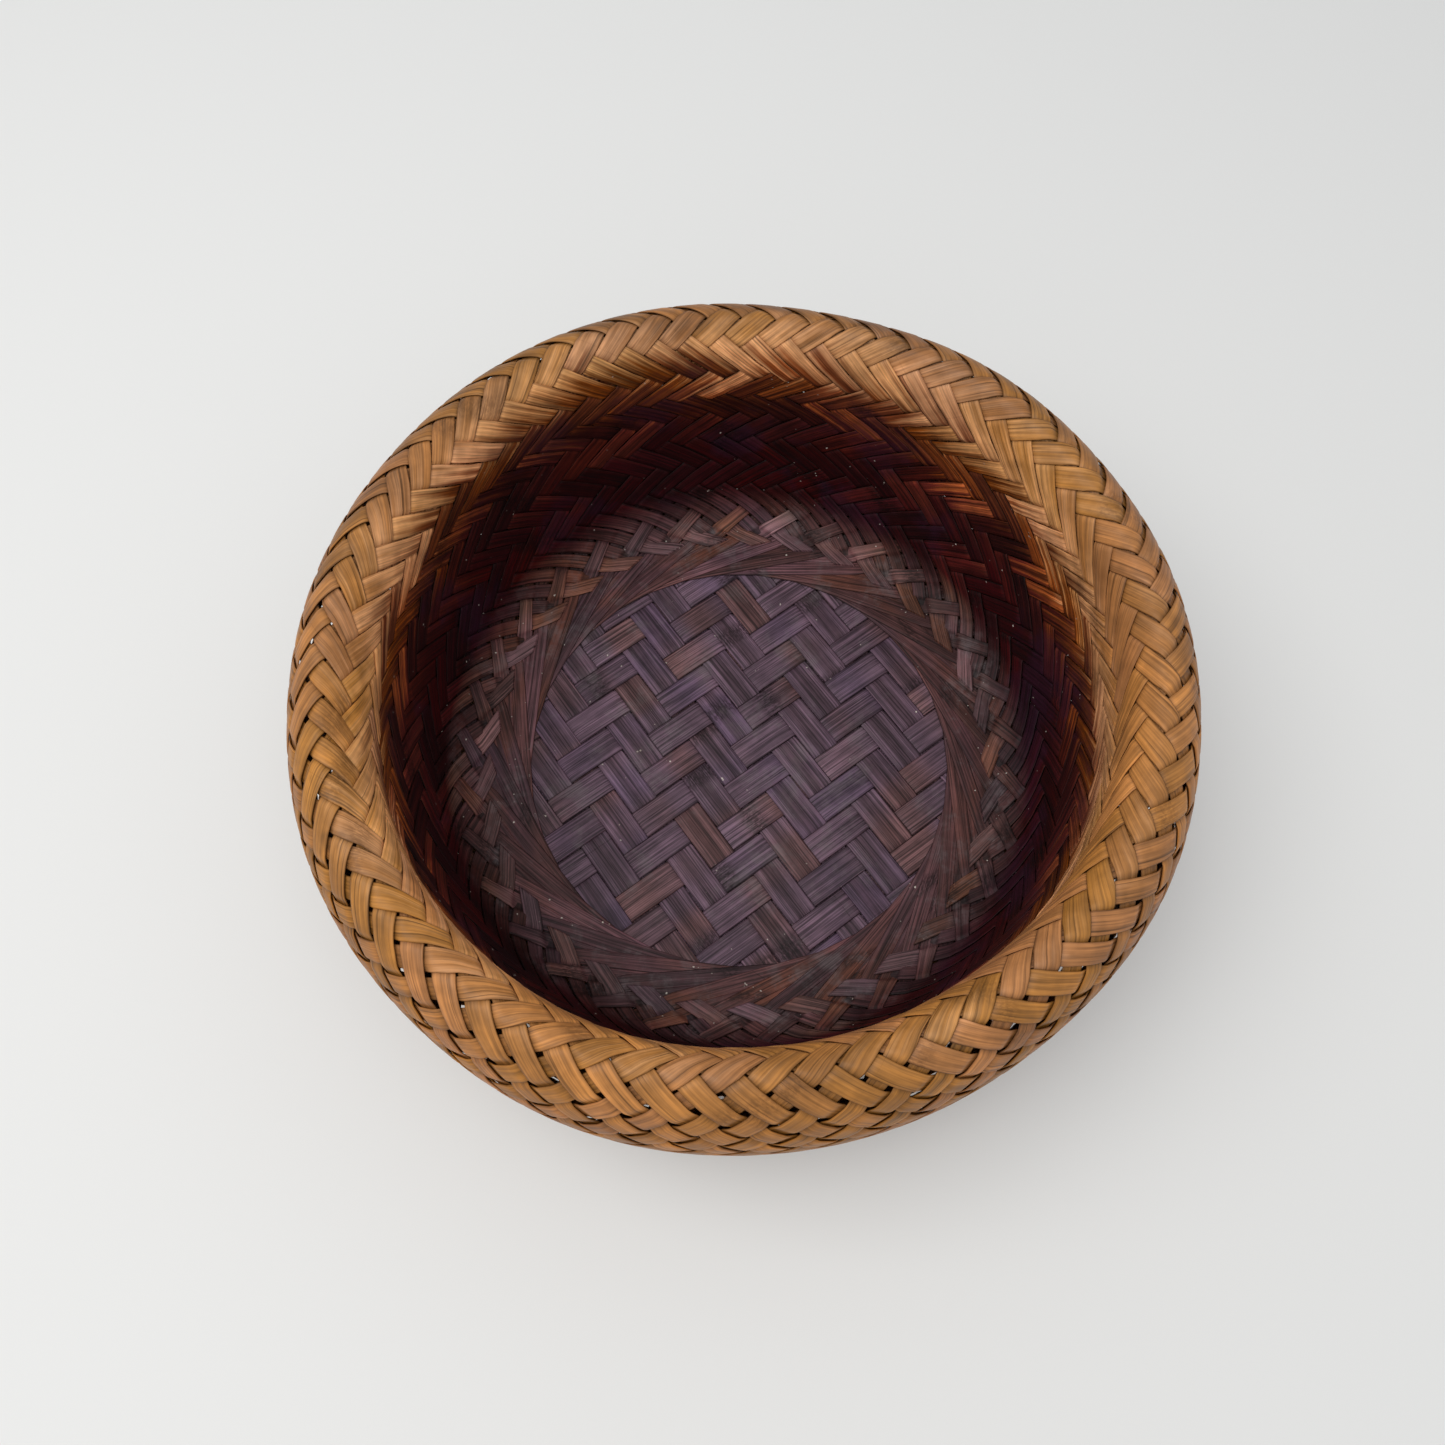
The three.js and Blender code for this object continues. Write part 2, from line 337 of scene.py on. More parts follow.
def woven_strip(clockwise, index, half, band_angle, seed):
    """Points of one narrow strip from the ring to the foot: arrays (station, section point, xyz),
    and per point: row, place across, nearness to a free edge, and height in floats."""
    odd = index % 2 == 1
    over_fan = not clockwise and not odd
    sign = -1 if clockwise else 1
    rng = np.random.default_rng(seed)
    bulge = rng.uniform(*BULGES, ROWS)
    lift = height_function(strip_heights(clockwise, odd), bulge)
    sway = wave(seed + 1, SWAY_ROWS)
    breadth = wave(seed + 2, BREADTH_ROWS)
    end_row = ROWS - 1 - rng.uniform(0, END_SPREAD)
    rows = np.concatenate([LEAD_SAMPLES, SAMPLES[SAMPLES < end_row], [end_row]])

    share = strip_share(rows, odd, breadth)
    parted = smooth(rows, -1.0, 1.0)  # 0 where the strip is still half of a ring end
    width = 1 + (share - 1) * parted
    shift = 0.5 * (1 - share) * 0.5 * sway(rows) * parted

    # The side shared with the other half stays square until the two part.
    across = SECTION[:, 0]
    shared_side = (across > 0) if half == 0 else (across < 0)
    u = width[:, None] / 2 * across[None, :] + shift[:, None]
    rounding = np.where(shared_side[None, :], parted[:, None], 1.0)
    thick = profile_of(rounding) * THICKNESS

    # A strip is cut along the lie of those that cross it, and squarer where it shows over the fan.
    oblique = smooth(rows, *OBLIQUE_ROWS)
    if over_fan:
        oblique = oblique * (1 + SQUARER * (1 - smooth(rows, 0.0, 1.0)))
    kappa = rows[:, None] - sign * u * oblique[:, None]
    place = place_in_end(clockwise, half, u)
    rk, zk, nr, nz = line_at(s_of_row(kappa))
    reach = RING_RADIUS + place * RING_BAND
    turn = np.arccos(reach / np.maximum(rk, reach))

    # The halves of a ring end keep their straight course for a while after they part.
    ring_offset = sign * (turn - np.arccos(RING_MIDDLE / rk))
    weave_offset = 2 * STEP * (half - 0.5 + u)
    settled = smooth(rows, 0, PARTING_ROWS)[:, None]
    theta = STEP * (2 * (index - half + 0.5) + sign * kappa)
    theta = theta + ring_offset + (weave_offset - ring_offset) * settled

    h = lift(rows)[:, None] * FLOAT + thick
    fan = fan_height(clockwise, turn, rk) + thick
    rise = smooth(rows, *(CLOCKWISE_RISE if clockwise else ANTICLOCKWISE_RISE))
    px = rk + nr * h * rise[:, None]
    pz = fan + (zk + nz * h - fan) * rise[:, None]
    if over_fan:
        # Every other one comes up between the halves of a ring end and lies over the fan.
        over = (smooth(rows, *FLOAT_UP) * (1 - smooth(rows, *FLOAT_DOWN)))[:, None]
        top = fan_height(True, np.arccos(np.minimum(RING_RADIUS / rk, 1)), rk) + OVER_FAN
        pz = pz + (top + thick - pz) * over
    wall = np.stack([px * np.cos(theta), px * np.sin(theta), pz], -1)

    ring_rounding = np.where(shared_side, 0.0, 1.0)
    ring, ring_place = ring_part(clockwise, half, band_angle, ring_rounding)

    def per_ring_point(value):
        return np.repeat(value[None, :], len(RING_SAMPLES), 0)

    points = np.concatenate([ring, wall])
    ring_rows = np.full(ring.shape[:2], FIRST_RING_ROW) + RING_SAMPLES[:, None] * RING_ROW_SPAN
    row_of = np.concatenate([ring_rows, kappa])
    edge = np.concatenate([
        per_ring_point(np.abs(across) * ring_rounding), np.abs(across)[None, :] * rounding])
    across_mm = np.concatenate([per_ring_point(ring_place * RING_BAND), place * RING_BAND])
    height = np.concatenate([
        np.zeros(ring.shape[:2]), np.repeat((lift(rows) * rise)[:, None], len(across), 1)])
    return points, row_of, across_mm, edge, height


# ---------------------------------------------------------------------------------------------
# Floor splints
# ---------------------------------------------------------------------------------------------
def b_over_a(i, j):
    """Whether splint j of the b ones lies over splint i of the a ones: a two-and-two twill."""
    return (j - i) % 4 >= 2


def floor_splint(letter, k, seed):
    """Points of one straight floor splint, its height in floats and place across at each of them,
    and the directions of its clockwise and anticlockwise ends."""
    count = SPLINT_COUNTS[letter]
    other = SPLINT_COUNTS["b" if letter == "a" else "a"]
    offset = (k - (count - 1) / 2) * SPLINT_PITCH
    half = math.sqrt(FLOOR_CUT_RADIUS**2 - min(abs(offset), FARTHEST_SPLINT) ** 2)
    places = (np.arange(other) - (other - 1) / 2) * SPLINT_PITCH
    over = np.array([
        (not b_over_a(k, n)) if letter == "a" else b_over_a(n, k) for n in range(other)])
    edges = np.concatenate([[places[0] - SPLINT_PITCH / 2], places + SPLINT_PITCH / 2])
    stations = [edge + d for edge in edges for d in EDGE_STATIONS]
    x = np.array([-half] + [a for a in stations if abs(a) < half - END_CLEARANCE] + [half])

    sway = wave(seed + 1, FLOOR_SWAY_LENGTH)
    breadth = wave(seed + 2, FLOOR_BREADTH_LENGTH)
    belly = np.random.default_rng(seed).uniform(*BELLIES, other + 1)
    f = (x - places[0]) / SPLINT_PITCH
    k0 = np.clip(np.floor(f).astype(int), 0, other - 2)
    part = np.clip(f - k0, 0, 1)
    level = np.where(over, 1.0, -1.0)
    h0, h1 = level[k0], level[k0 + 1]
    lift = h0 + (h1 - h0) * smooth(part, 0.35, 0.65)
    lift = lift + np.where((h0 == h1) & (h0 > 0), belly[k0] * np.sin(np.pi * part) ** 2, 0)

    across = SECTION[:, 0]
    width = SPLINT_WIDTH * (1 + FLOOR_WIDTH_CHANGE * breadth(x))
    y = offset + FLOOR_SWAY * sway(x)
    px = np.repeat(x[:, None], len(across), 1)
    py = y[:, None] + width[:, None] / 2 * across[None, :]
    pz = FLOOR_Z + lift[:, None] * FLOAT + SECTION[:, 1][None, :] * THICKNESS
    across_mm = (across + 1) / 2 * SPLINT_WIDTH
    angle = FLOOR_ANGLE
    centre_y = offset
    if letter == "b":
        angle = FLOOR_ANGLE + math.pi / 2
        py = -py  # b splints step along the a direction
        centre_y = -offset
    points = np.stack([px * math.cos(angle) - py * math.sin(angle),
                       px * math.sin(angle) + py * math.cos(angle), pz], -1)
    if letter == "b":
        # Turned round, so that its faces still point out.
        points = points[:, ::-1]
        across_mm = across_mm[::-1]

    # One end leans clockwise and the other anticlockwise.
    clockwise_side = 1 if centre_y > -1e-6 else -1
    ends = [math.atan2(side * half * math.sin(angle) + centre_y * math.cos(angle),
                       side * half * math.cos(angle) - centre_y * math.sin(angle))
            for side in (clockwise_side, -clockwise_side)]
    height = np.repeat(lift[:, None], len(across), 1)
    return points, height, np.repeat(across_mm[None, :], len(x), 0), ends


# ---------------------------------------------------------------------------------------------
# Meshes
# ---------------------------------------------------------------------------------------------
def warp(points):
    """The small unevenness of a hand-made basket, the same for every strip."""
    x, y, z = points[..., 0], points[..., 1], points[..., 2]
    a = np.arctan2(y, x)
    up = smooth(z, 10, 110)
    swell = 1 + up * (0.006 * np.sin(2 * a + 0.7) + 0.004 * np.sin(3 * a + 2.1)
                      + 0.003 * np.sin(5 * a + 4.0) + 0.0015 * np.sin(9 * a))
    lift = up * (0.9 * np.sin(2 * a + 2.2) + 0.6 * np.sin(3 * a + 0.4) + 0.4 * np.sin(7 * a + 1.0))
    return np.stack([x * swell, y * swell, z + lift], -1)


class Tubes:
    """Collects closed strips into the arrays of one mesh."""

    def __init__(self):
        self.points = []
        self.faces = []
        self.values = {}
        self.total = 0

    def add(self, points, **values):
        stations, around = points.shape[:2]
        points = warp(points)
        ids = self.total + np.arange(stations * around).reshape(stations, around)
        beside = np.roll(ids, -1, axis=1)
        quads = np.stack([ids[:-1], ids[1:], beside[1:], beside[:-1]], -1).reshape(-1, 4)
        self.faces += quads.tolist()
        self.faces += [ids[0].tolist(), ids[-1][::-1].tolist()]
        self.points.append(points.reshape(-1, 3) * MM)
        for name, value in values.items():
            value = np.broadcast_to(value, (stations, around)).reshape(-1)
            self.values.setdefault(name, []).append(value)
        self.total += stations * around

    def build(self, name, material):
        mesh = bpy.data.meshes.new(name)
        mesh.from_pydata(np.concatenate(self.points).tolist(), [], self.faces)
        for key, parts in self.values.items():
            layer = mesh.attributes.new(key, "FLOAT", "POINT")
            layer.data.foreach_set("value", np.concatenate(parts).astype(np.float32))
        mesh.polygons.foreach_set("use_smooth", [True] * len(mesh.polygons))
        mesh.update()
        mesh.materials.append(material)
        piece = bpy.data.objects.new(name, mesh)
        bpy.context.scene.collection.objects.link(piece)
        return piece


def along_mm(points):
    """Length along a strip, at every section point."""
    middle = points.mean(axis=1)
    d = np.concatenate([[0], np.cumsum(np.linalg.norm(np.diff(middle, axis=0), axis=1))])
    return np.repeat(d[:, None], points.shape[1], 1)


# ---------------------------------------------------------------------------------------------
# Material
# ---------------------------------------------------------------------------------------------
class Nodes:
    """Adds nodes to a material's tree and links them."""

    def __init__(self, tree):
        self.tree = tree

    def add(self, kind, **settings):
        node = self.tree.nodes.new(kind)
        for key, value in settings.items():
            setattr(node, key, value)
        return node

    def put(self, socket, value):
        if hasattr(value, "is_linked"):
            self.tree.links.new(value, socket)
        else:
            socket.default_value = value

    def value(self, name):
        return self.add("ShaderNodeAttribute", attribute_name=name).outputs["Fac"]

    def calc(self, operation, *values, clamp=False):
        node = self.add("ShaderNodeMath", operation=operation, use_clamp=clamp)
        for k, value in enumerate(values):
            self.put(node.inputs[k], value)
        return node.outputs[0]

    def times(self, a, b):
        return self.calc("MULTIPLY", a, b)

    def plus(self, a, b, clamp=False):
        return self.calc("ADD", a, b, clamp=clamp)

    def less(self, a, b):
        return self.calc("SUBTRACT", a, b)

    def centred(self, value):
        """A value from 0 to 1, moved to lie about 0."""
        return self.less(value, 0.5)

    def pack(self, x, y, z):
        node = self.add("ShaderNodeCombineXYZ")
        for k, value in enumerate((x, y, z)):
            self.put(node.inputs[k], value)
        return node.outputs[0]

    def noise(self, vector, scale, detail, rough):
        node = self.add("ShaderNodeTexNoise")
        self.put(node.inputs["Vector"], vector)
        node.inputs["Scale"].default_value = scale
        node.inputs["Detail"].default_value = detail
        node.inputs["Roughness"].default_value = rough
        return node.outputs["Fac"]

    def remap(self, value, a, b, c=0.0, d=1.0, straight=False):
        """c where the value is a, and d where it is b, with a smooth or a straight change."""
        node = self.add("ShaderNodeMapRange",
                        interpolation_type="LINEAR" if straight else "SMOOTHSTEP")
        self.put(node.inputs["Value"], value)
        for key, x in zip(("From Min", "From Max", "To Min", "To Max"), (a, b, c, d)):
            self.put(node.inputs[key], x)
        return node.outputs["Result"]

    def mix(self, factor, a, b, blend="MIX"):
        node = self.add("ShaderNodeMix", data_type="RGBA", blend_type=blend)
        self.put(node.inputs["Factor"], factor)
        self.put(node.inputs[6], a)  # the colour sockets, which share their names with others
        self.put(node.inputs[7], b)
        return node.outputs[2]

    def tinted(self, factor, color, tint):
        """The colour, multiplied by a tint as far as the factor says."""
        return self.mix(factor, color, self.mix(1.0, color, (*tint, 1), "MULTIPLY"))

    def ramp(self, value, stops):
        node = self.add("ShaderNodeValToRGB")
        elements = node.color_ramp.elements
        while len(elements) < len(stops):
            elements.new(0.5)
        for element, (at, color) in zip(elements, stops):
            element.position = at
            element.color = (*color, 1)
        self.put(node.inputs[0], value)
        return node.outputs["Color"]


def srgb(r, g, b):
    """A colour given in sRGB from 0 to 255, as the linear one that Blender takes."""
    return tuple(((c / 255) / 12.92 if c <= 10 else ((c / 255 + 0.055) / 1.055) ** 2.4)
                 for c in (r, g, b))


DUSKY_PURPLE = srgb(90, 72, 84)
PLUM_BROWN = srgb(92, 62, 62)
OXBLOOD = srgb(48, 8, 12)
DARK_RUST = srgb(72, 28, 24)
RUST = srgb(140, 78, 48)
# Straw made paler than the cane with painted light, for the throat.
STRAW_WITH_PAINTED_LIGHT = srgb(230, 172, 126)
STRAW = srgb(165, 116, 76)
TAN = srgb(150, 100, 58)
BROWN = srgb(132, 94, 64)
GREY_BLOOM = srgb(112, 104, 106)
PURPLE_BLOOM = srgb(48, 20, 42)
DUST = srgb(214, 206, 196)

# Tints, which multiply the colour they are laid over.
BROWNER = (1.12, 0.92, 0.66)
BLUER = (0.76, 0.80, 1.0)
RUSTIER = (1.1, 2.0, 1.2)
COOLER = (0.80, 0.92, 1.16)
PALER = (0.98, 1.12, 1.06)
KNOT_TINT = (0.36, 0.33, 0.33)
MOULD_TINT = (0.36, 0.38, 0.46)
# Darkens strip edges: grime, and painted shade in the gaps.
GRIME_AND_SHADE_TINT = (0.30, 0.24, 0.22)

# Places along the weave, as lengths along the weave line in millimetres. The ring and the floor,
# which come before it, have negative ones.
FLOOR_ZONE = -40.0
RING_ZONE = -8.0
WALL_FOOT = (15, 40)  # from the first rows to the wall
THROAT = (96, 124)  # from the bowl to the rim
COLORS = [
    (FLOOR_ZONE, DUSKY_PURPLE),
    (-14, DUSKY_PURPLE),
    (RING_ZONE, PLUM_BROWN),
    (15, PLUM_BROWN),
    (34, OXBLOOD),  # foot of the inner wall
    (54, OXBLOOD),
    (78, DARK_RUST),
    (100, RUST),
    # The throat's colour carries painted light.
    (121, STRAW_WITH_PAINTED_LIGHT),  # throat
    (136, STRAW),  # rim
    (165, TAN),  # outer wall
    (340, BROWN),
]


class Bamboo(Nodes):
    """The values and patterns that the layers of the bamboo share."""

    def __init__(self, tree):
        super().__init__(tree)
        for name in ("along", "across", "seed", "zone", "tint", "warmth", "shade", "knot",
                     "height", "edge"):
            setattr(self, name, self.value(name))
        self.position = self.add("ShaderNodeNewGeometry").outputs["Position"]

        self.fibre = self.drawn_out(0.022, 1.0, 0, detail=3, rough=0.7)
        self.streak = self.drawn_out(0.010, 0.5, 31.0, detail=3, rough=0.6)
        self.hair = self.drawn_out(0.03, 1.8, 77.0, detail=2, rough=0.6)
        self.fine = self.plus(self.times(self.fibre, 0.45), self.times(self.hair, 0.55))

        self.in_bowl = self.remap(self.zone, *THROAT, 1.0, 0.0)
        self.low_down = self.remap(self.zone, *WALL_FOOT, 1.0, 0.0)  # the floor, ring and first rows
        self.on_inner_wall = self.times(
            self.remap(self.zone, *WALL_FOOT), self.remap(self.zone, 98, 122, 1.0, 0.0))
        # Where the splints part beyond the ring.
        self.parting = self.times(self.low_down, self.remap(self.zone, -20, -4))

        # Nodes of the cane: a short band of dark scaly marks across a strip.
        self.scales = self.drawn_out(0.5, 1.5, 0, detail=3, rough=0.6)
        self.knot_band = self.remap(self.calc("ABSOLUTE", self.knot), 2.0, 7.0, 1.0, 0.0)

    def drawn_out(self, lengthwise, crosswise, shift, detail, rough):
        """Noise drawn out along the strip and different on every splint."""
        seed = self.plus(self.seed, shift) if shift else self.seed
        at = self.pack(self.times(self.along, lengthwise), self.times(self.across, crosswise), seed)
        return self.noise(at, 1.0, detail, rough)


def stain(b):
    """Colour by place, with an uneven edge to each shade."""
    big = b.noise(b.position, scale=22, detail=3, rough=0.55)
    uneven = b.times(b.centred(big), 36.0)
    uneven = b.plus(uneven, b.times(b.centred(b.streak), 66.0))
    uneven = b.plus(uneven, b.times(b.centred(b.tint), 13.0))
    on_wall = b.remap(b.zone, 40, 80)
    uneven = b.times(uneven, b.times(on_wall, b.remap(b.zone, 125, 150, 1.0, 0.3)))
    place = b.plus(b.zone, uneven)
    low, high = COLORS[0][0], COLORS[-1][0]
    color = b.ramp(b.remap(place, low, high, straight=True),
                   [((s - low) / (high - low), c) for s, c in COLORS])

    # On the floor and the ring some stretches are browner and some bluer.
    stretch_at = b.pack(b.times(b.along, 0.022), 0.0, b.plus(b.seed, 11.0))
    stretch = b.noise(stretch_at, scale=1.0, detail=1, rough=0.5)
    brown = b.times(b.remap(stretch, 0.51, 0.66), b.times(b.low_down, 0.85))
    blue = b.times(b.remap(stretch, 0.46, 0.30), b.times(b.low_down, 0.6))
    color = b.tinted(brown, color, BROWNER)
    color = b.tinted(blue, color, BLUER)

    # Low on the wall the pale strips are rusty.
    rusty = b.times(b.on_inner_wall, b.remap(place, 52, 80, 1.0, 0.0))
    pale = b.plus(b.tint, b.times(b.centred(b.streak), 0.8))
    rusty = b.times(rusty, b.remap(pale, 0.45, 0.95))
    color = b.tinted(rusty, color, RUSTIER)

    # Beyond the ring some strips are cooler, and the raised ones are paler.
    cool = b.times(b.parting, b.remap(b.warmth, 0.55, 0.25, 0.0, 0.6))
    color = b.tinted(cool, color, COOLER)
    raised = b.times(b.parting, b.remap(b.height, 0.4, 1.6))
    return b.tinted(raised, color, PALER)


def brightness(b):
    """Each splint has its own tone, and darker and lighter lines run along it. Light and shade
    are painted over these: by direction round the basket, and by the height of a strip.
    """
    # The shade attribute is painted light and shade by direction round the basket.
    level = b.times(b.shade, b.plus(0.82, b.times(b.tint, 0.36)))
    # The strips of the inner wall differ most.
    level = b.times(level, b.plus(
        1.0, b.times(b.on_inner_wall, b.times(b.less(b.tint, 0.45), 0.9))))
    strong = b.remap(b.fine, 0.41, 0.61, 0.44, 1.94, straight=True)
    gentle = b.remap(b.fine, 0.37, 0.62, 0.66, 1.30, straight=True)
    level = b.times(level, b.plus(
        b.times(strong, b.in_bowl), b.times(gentle, b.less(1.0, b.in_bowl))))
    streaky = b.times(b.centred(b.streak), b.remap(b.low_down, 0, 1, 1.1, 0.4))
    level = b.times(level, b.plus(1.0, streaky))
    crack = b.remap(b.drawn_out(0.012, 1.5, 53.0, detail=1, rough=0.4), 0.30, 0.35, 1.0, 0.0)
    level = b.times(level, b.less(1.0, b.times(crack, 0.45)))
    patch = b.noise(b.position, scale=75, detail=3, rough=0.6)
    level = b.times(level, b.remap(patch, 0.3, 0.75, 0.78, 1.18))
    # Painted shade where a strip lies low, under the strips that cross it.
    painted_shade_where_low = b.remap(b.height, -0.7, 0.8, 1.0, 0.0)
    painted_shade_where_low = b.times(painted_shade_where_low, b.remap(b.low_down, 0, 1, 0.34, 0.17))
    level = b.times(level, b.less(1.04, painted_shade_where_low))

    # Where the splints part beyond the ring they differ more, and the raised strips get painted
    # light and the low ones painted shade.
    level = b.times(level, b.plus(1.0, b.times(b.parting, b.times(b.centred(b.tint), 0.6))))
    painted_light_by_height = b.less(b.remap(b.height, 0.3, 1.6, 0.94, 1.42), b.remap(b.height, -0.1, -1.5, 0.0, 0.5))
    return b.times(level, b.plus(1.0, b.times(b.parting, b.less(painted_light_by_height, 1.0))))


def knots(b, color):
    """Dark marks at the nodes of the cane."""
    dark = b.times(b.knot_band, b.remap(b.scales, 0.40, 0.56, 0.25, 1.0))
    dark = b.times(dark, b.remap(b.zone, *THROAT, 1.0, 0.45))
    return b.tinted(dark, color, KNOT_TINT)


def bloom(b, color):
    """Bloom in patches on the old inner surface: grey low down, and purple on the wall."""
    grey = b.remap(b.noise(b.position, scale=60, detail=5, rough=0.7), 0.5, 0.7, 0.0, 0.42)
    grey = b.times(b.times(grey, b.low_down), b.remap(b.fine, 0.4, 0.6, 0.5, 1.3))
    color = b.mix(grey, color, (*GREY_BLOOM, 1))
    purple = b.remap(b.noise(b.position, scale=26, detail=4, rough=0.6), 0.50, 0.64, 0.0, 0.5)
    purple = b.times(b.times(purple, b.on_inner_wall), b.remap(b.fine, 0.4, 0.6, 0.4, 1.2))
    return b.mix(purple, color, (*PURPLE_BLOOM, 1))


def dust_specks(b):
    """1 on pale specks of dust in the bowl, with ragged outlines."""
    speck = b.add("ShaderNodeTexVoronoi")
    speck.inputs["Scale"].default_value = 380
    b.put(speck.inputs["Vector"], b.position)
    chance = b.remap(b.noise(b.position, scale=170, detail=2, rough=0.5), 0.63, 0.68)
    raggedness = b.times(b.centred(b.noise(b.position, scale=900, detail=1, rough=0.5)), 0.5)
    outline = b.plus(speck.outputs["Distance"], raggedness)
    specks = b.times(b.remap(outline, 0.06, 0.18, 1.0, 0.0), chance)
    return b.times(specks, b.times(b.in_bowl, 0.8))


def mould(b, color):
    """A few blue-black stains along the fibres of the rim and the outside."""
    stains = b.remap(b.noise(b.position, scale=38, detail=3, rough=0.6), 0.66, 0.74, 0.0, 0.6)
    stains = b.times(stains, b.times(b.remap(b.fibre, 0.42, 0.56), b.remap(b.zone, *THROAT)))
    return b.tinted(stains, color, MOULD_TINT)


def grime_and_painted_shade(b, color):
    """Grime along both edges of a strip, with painted shade in the gaps between strips."""
    dark = b.times(b.remap(b.edge, 0.84, 1.0), b.remap(b.zone, *THROAT, 0.6, 0.34))
    return b.tinted(dark, color, GRIME_AND_SHADE_TINT)


def bamboo_material():
    material = bpy.data.materials.new("aged_bamboo")
    material.use_nodes = True
    shader = material.node_tree.nodes["Principled BSDF"]
    b = Bamboo(material.node_tree)

    level = brightness(b)
    hue = b.add("ShaderNodeHueSaturation")
    b.put(hue.inputs["Hue"], b.remap(b.warmth, 0, 1, 0.498, 0.506, straight=True))
    b.put(hue.inputs["Saturation"], b.remap(b.warmth, 0, 1, 1.04, 1.12, straight=True))
    b.put(hue.inputs["Color"], b.mix(1.0, stain(b), b.pack(level, level, level), "MULTIPLY"))
    color = bloom(b, knots(b, hue.outputs["Color"]))
    specks = dust_specks(b)
    color = b.mix(specks, color, (*DUST, 1))
    b.put(shader.inputs["Base Color"], grime_and_painted_shade(b, mould(b, color)))

    rough = b.remap(b.zone, 30, 125, 0.62, 0.47)
    rough = b.plus(rough, b.times(b.centred(b.fibre), 0.25), clamp=True)
    rough = b.plus(rough, b.times(specks, 0.3), clamp=True)
    b.put(shader.inputs["Roughness"], rough)
    shader.inputs["Specular IOR Level"].default_value = 0.22

    bump = b.add("ShaderNodeBump")
    bump.inputs["Strength"].default_value = 0.5
    bump.inputs["Distance"].default_value = 0.00022
    relief = b.plus(b.times(b.fibre, 0.8), b.times(b.hair, 0.35))
    relief = b.plus(relief, b.times(b.knot_band, b.times(b.scales, 1.1)))
    b.put(bump.inputs["Height"], relief)
    b.put(shader.inputs["Normal"], bump.outputs["Normal"])
    return material


# ---------------------------------------------------------------------------------------------
# The basket
# ---------------------------------------------------------------------------------------------
def zone_of(row, points):
    """Length along the weave line on the walls, and RING_ZONE on the ring. The stain of the bowl
    reaches less far up one side than the other."""
    angle = np.arctan2(points[..., 1], points[..., 0])
    clear = 18.5 * np.minimum(1, 1 - np.sin(angle)) + 8.5 * np.cos(angle)
    clear = clear - 8 * np.maximum(0, np.sin(angle))
    zone = s_of_row(row)
    clear = clear * smooth(zone, 2, 100) * (1 - smooth(zone, 120, 140))
    return np.where(row < LAST_RING_ROW, RING_ZONE, zone + clear)


def painted_light_and_shade_of(row, points):
    """Painted light and shade, by direction round the basket. The rim and the outside are a little
    darker at the back, a painted shade, and paler in front, a painted light. The throat is paler
    except at the back, a painted light. The first rows beyond the ring are darker on the right, on
    the left and in front, and paler at the back."""
    angle = np.arctan2(points[..., 1], points[..., 0])
    toward_back = np.sin(angle)
    s = s_of_row(row)
    # Painted shade at the back, painted light in front, and painted light on the throat.
    back = 0.26 * np.maximum(0, toward_back) * smooth(s, 120, 136)
    front = 0.16 * np.maximum(0, -toward_back) * smooth(s, 132, 148)
    throat = 0.30 * (1 - np.maximum(0, toward_back)) * smooth(s, 102, 111) * (1 - smooth(s, 125, 139))
    side = np.where(np.cos(angle) > 0, 0.30, 0.08) * np.abs(np.cos(angle))
    side = side + np.where(toward_back < 0, 0.12, 0.14) * -toward_back
    first_rows = side * smooth(s, 3, 8) * (1 - smooth(s, 22, 34))
    return 1 - back + front + throat - first_rows


def knots_at(along, seed):
    """Distance to the nearest node of the cane."""
    rng = np.random.default_rng(seed)
    spacing = rng.uniform(150, 230)
    start = rng.uniform(0, spacing)
    return (along - start + spacing / 2) % spacing - spacing / 2


def ranked(angles):
    """For each splint, its place in order round the basket."""
    order = np.argsort(np.mod(angles, 2 * math.pi))
    rank = np.empty(len(angles), int)
    rank[order] = np.arange(len(angles))
    return rank


# Seeds of the floor splints, of whole pieces, and of the strips that lean each way.
FLOOR_SEED = 1000
FLOOR_SEED_STEP = 50
PIECE_SEED = 5000
PIECE_SEED_STEP = 97
STRIP_SEEDS = {"clockwise": 11, "anticlockwise": 23}
GRAIN_STEP = 3.7  # between the fibre noise of one splint and the next
CANE_STARTS = {"clockwise": 300, "anticlockwise": 700}  # where the strips begin along the cane
SHADE_SPREAD = 0.12  # of the two halves of an end, once they have parted

names, floors = [], []
for letter, count in SPLINT_COUNTS.items():
    for k in range(count):
        names.append(f"{letter}_{k + 1:02d}")
        floors.append(floor_splint(letter, k, FLOOR_SEED + FLOOR_SEED_STEP * len(names)))
ranks = {"clockwise": ranked([ends[0] for _, _, _, ends in floors]),
         "anticlockwise": ranked([ends[1] for _, _, _, ends in floors])}


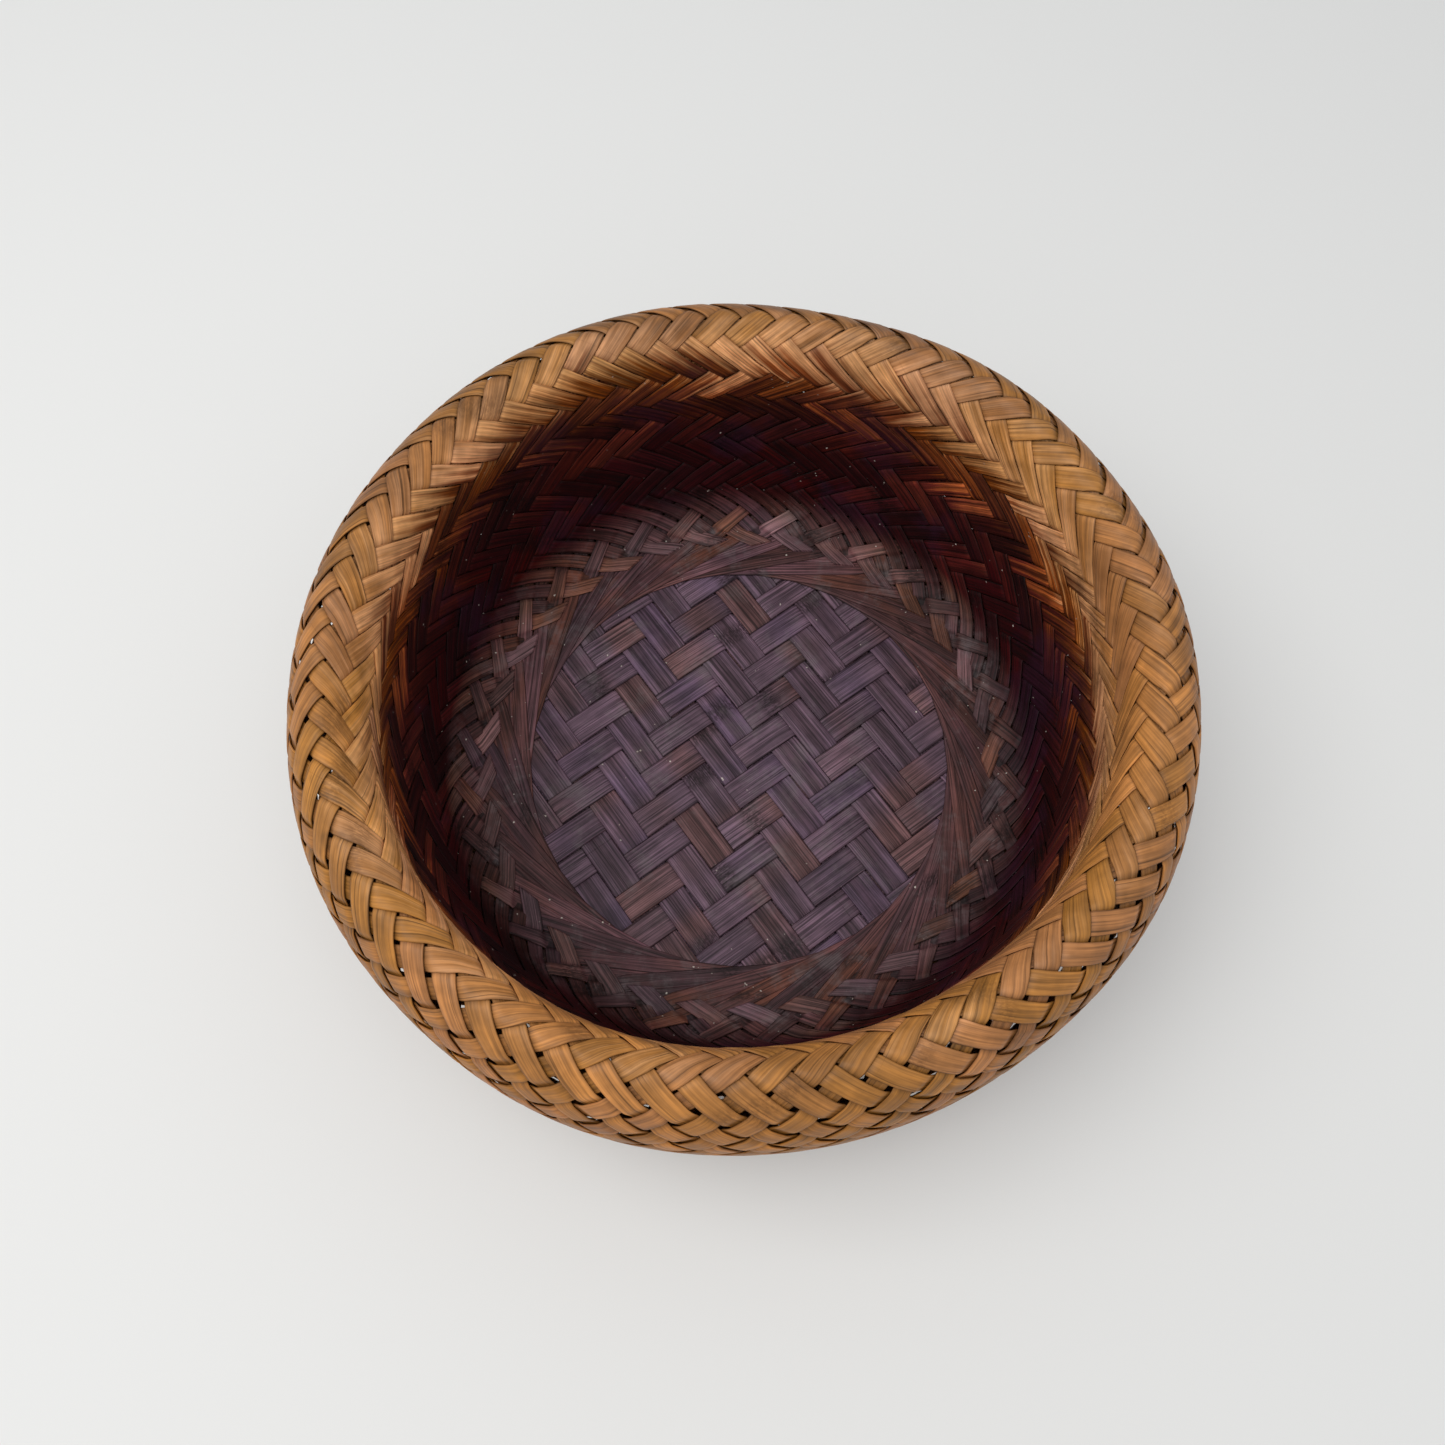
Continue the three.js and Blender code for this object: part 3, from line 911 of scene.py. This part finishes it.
def splint_tubes(n):
    """One splint: its wide floor strip and the four narrow strips that its ends are split into."""
    tubes = Tubes()
    seed = PIECE_SEED + PIECE_SEED_STEP * n
    rng = np.random.default_rng(seed)
    tint = rng.uniform(0, 1)
    warmth = rng.uniform(0, 1)
    grain = GRAIN_STEP * n
    points, height, across, _ = floors[n]
    along = along_mm(points)
    tubes.add(points, along=along, across=across, zone=FLOOR_ZONE, seed=grain, tint=tint,
              warmth=warmth, shade=1.0, knot=knots_at(along, seed + 1),
              edge=np.abs(SECTION[:, 0])[None, :], height=height)
    for lean in ("clockwise", "anticlockwise"):
        clockwise = lean == "clockwise"
        for half in (0, 1):
            index = 2 * ranks[lean][n] + half - (1 if clockwise else 0)
            centre = STEP * 2 * (index - half + 0.5)
            band_angle = centre - (-1 if clockwise else 1) * MIDDLE_TURN
            strip_seed = seed + STRIP_SEEDS[lean] + half
            points, row, across, edge, height = woven_strip(
                clockwise, index, half, band_angle, strip_seed)
            along = along_mm(points) + CANE_STARTS[lean]
            jitter = np.random.default_rng(strip_seed).uniform(-SHADE_SPREAD, SHADE_SPREAD)
            own = jitter * smooth(row, 0, 3)
            # shade: painted light and shade by direction round the basket.
            tubes.add(points, along=along, across=across, zone=zone_of(row, points), seed=grain,
                      tint=tint + own, warmth=warmth + own, shade=painted_light_and_shade_of(row, points),
                      knot=knots_at(along, seed + (3 if clockwise else 2)), edge=edge,
                      height=height)
    return tubes


material = bamboo_material()
for n, name in enumerate(names):
    piece = splint_tubes(n).build(f"splint_{name}", material)
    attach(piece, "root")
    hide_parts(f"floor_splint_{name}", "ring_ends_upper", "ring_ends_lower",
                "wall_inner", "wall_rim", "wall_outer", "wall_foot")


# ---------------------------------------------------------------------------------------------
# Stage, light and camera
# ---------------------------------------------------------------------------------------------
LENS = 27.06  # millimetres, on a sensor 36 mm wide
CAMERA_PLACE = (-0.044, -0.999, 2.739)  # in outer radii from the middle of the floor's surface
CAMERA_DOWN = 68.15  # degrees below level
GROUND_GAP = 0.0004  # metres that the ground lies below the frame's origin

# Square lamps aimed at the origin: name, place, size, power and colour.
LAMPS = (
    ("window", (-0.75, -0.1, 1.5), 1.1, 12, (1.0, 0.99, 0.97)),
    ("overhead", (0.15, -0.45, 1.85), 1.4, 6, (1.0, 1.0, 1.0)),
)


def stage():
    bpy.ops.mesh.primitive_plane_add(size=6, location=(0, 0, -GROUND_GAP))
    ground = bpy.context.object
    ground.name = "stage_floor"
    paint = bpy.data.materials.new("stage_white")
    paint.use_nodes = True
    bsdf = paint.node_tree.nodes["Principled BSDF"]
    bsdf.inputs["Base Color"].default_value = (0.76, 0.76, 0.75, 1)
    bsdf.inputs["Roughness"].default_value = 0.75
    ground.data.materials.append(paint)


def light():
    world = bpy.data.worlds.new("studio")
    bpy.context.scene.world = world
    world.use_nodes = True
    background = world.node_tree.nodes["Background"]
    background.inputs["Color"].default_value = (0.97, 0.985, 1, 1)
    background.inputs["Strength"].default_value = 0.6
    for name, place, size, power, tone in LAMPS:
        lamp = bpy.data.lights.new(name, "AREA")
        lamp.shape = "SQUARE"
        lamp.size = size
        lamp.energy = power
        lamp.color = tone
        holder = bpy.data.objects.new(name, lamp)
        holder.location = place
        aim = -np.array(place) / np.linalg.norm(place)
        holder.rotation_euler = (
            math.acos(-aim[2]), 0, math.atan2(aim[1], aim[0]) - math.pi / 2)
        bpy.context.scene.collection.objects.link(holder)


def camera():
    data = bpy.data.cameras.new("view")
    data.sensor_width = 36
    data.lens = LENS
    holder = bpy.data.objects.new("view", data)
    x, y, z = (c * RADIUS for c in CAMERA_PLACE)
    holder.location = (x, y, z + FLOOR_SURFACE_Z * MM)
    holder.rotation_euler = (math.radians(90 - CAMERA_DOWN), 0, 0)
    bpy.context.scene.collection.objects.link(holder)
    bpy.context.scene.camera = holder


stage()
light()
camera()
bpy.context.scene.view_settings.view_transform = "Standard"
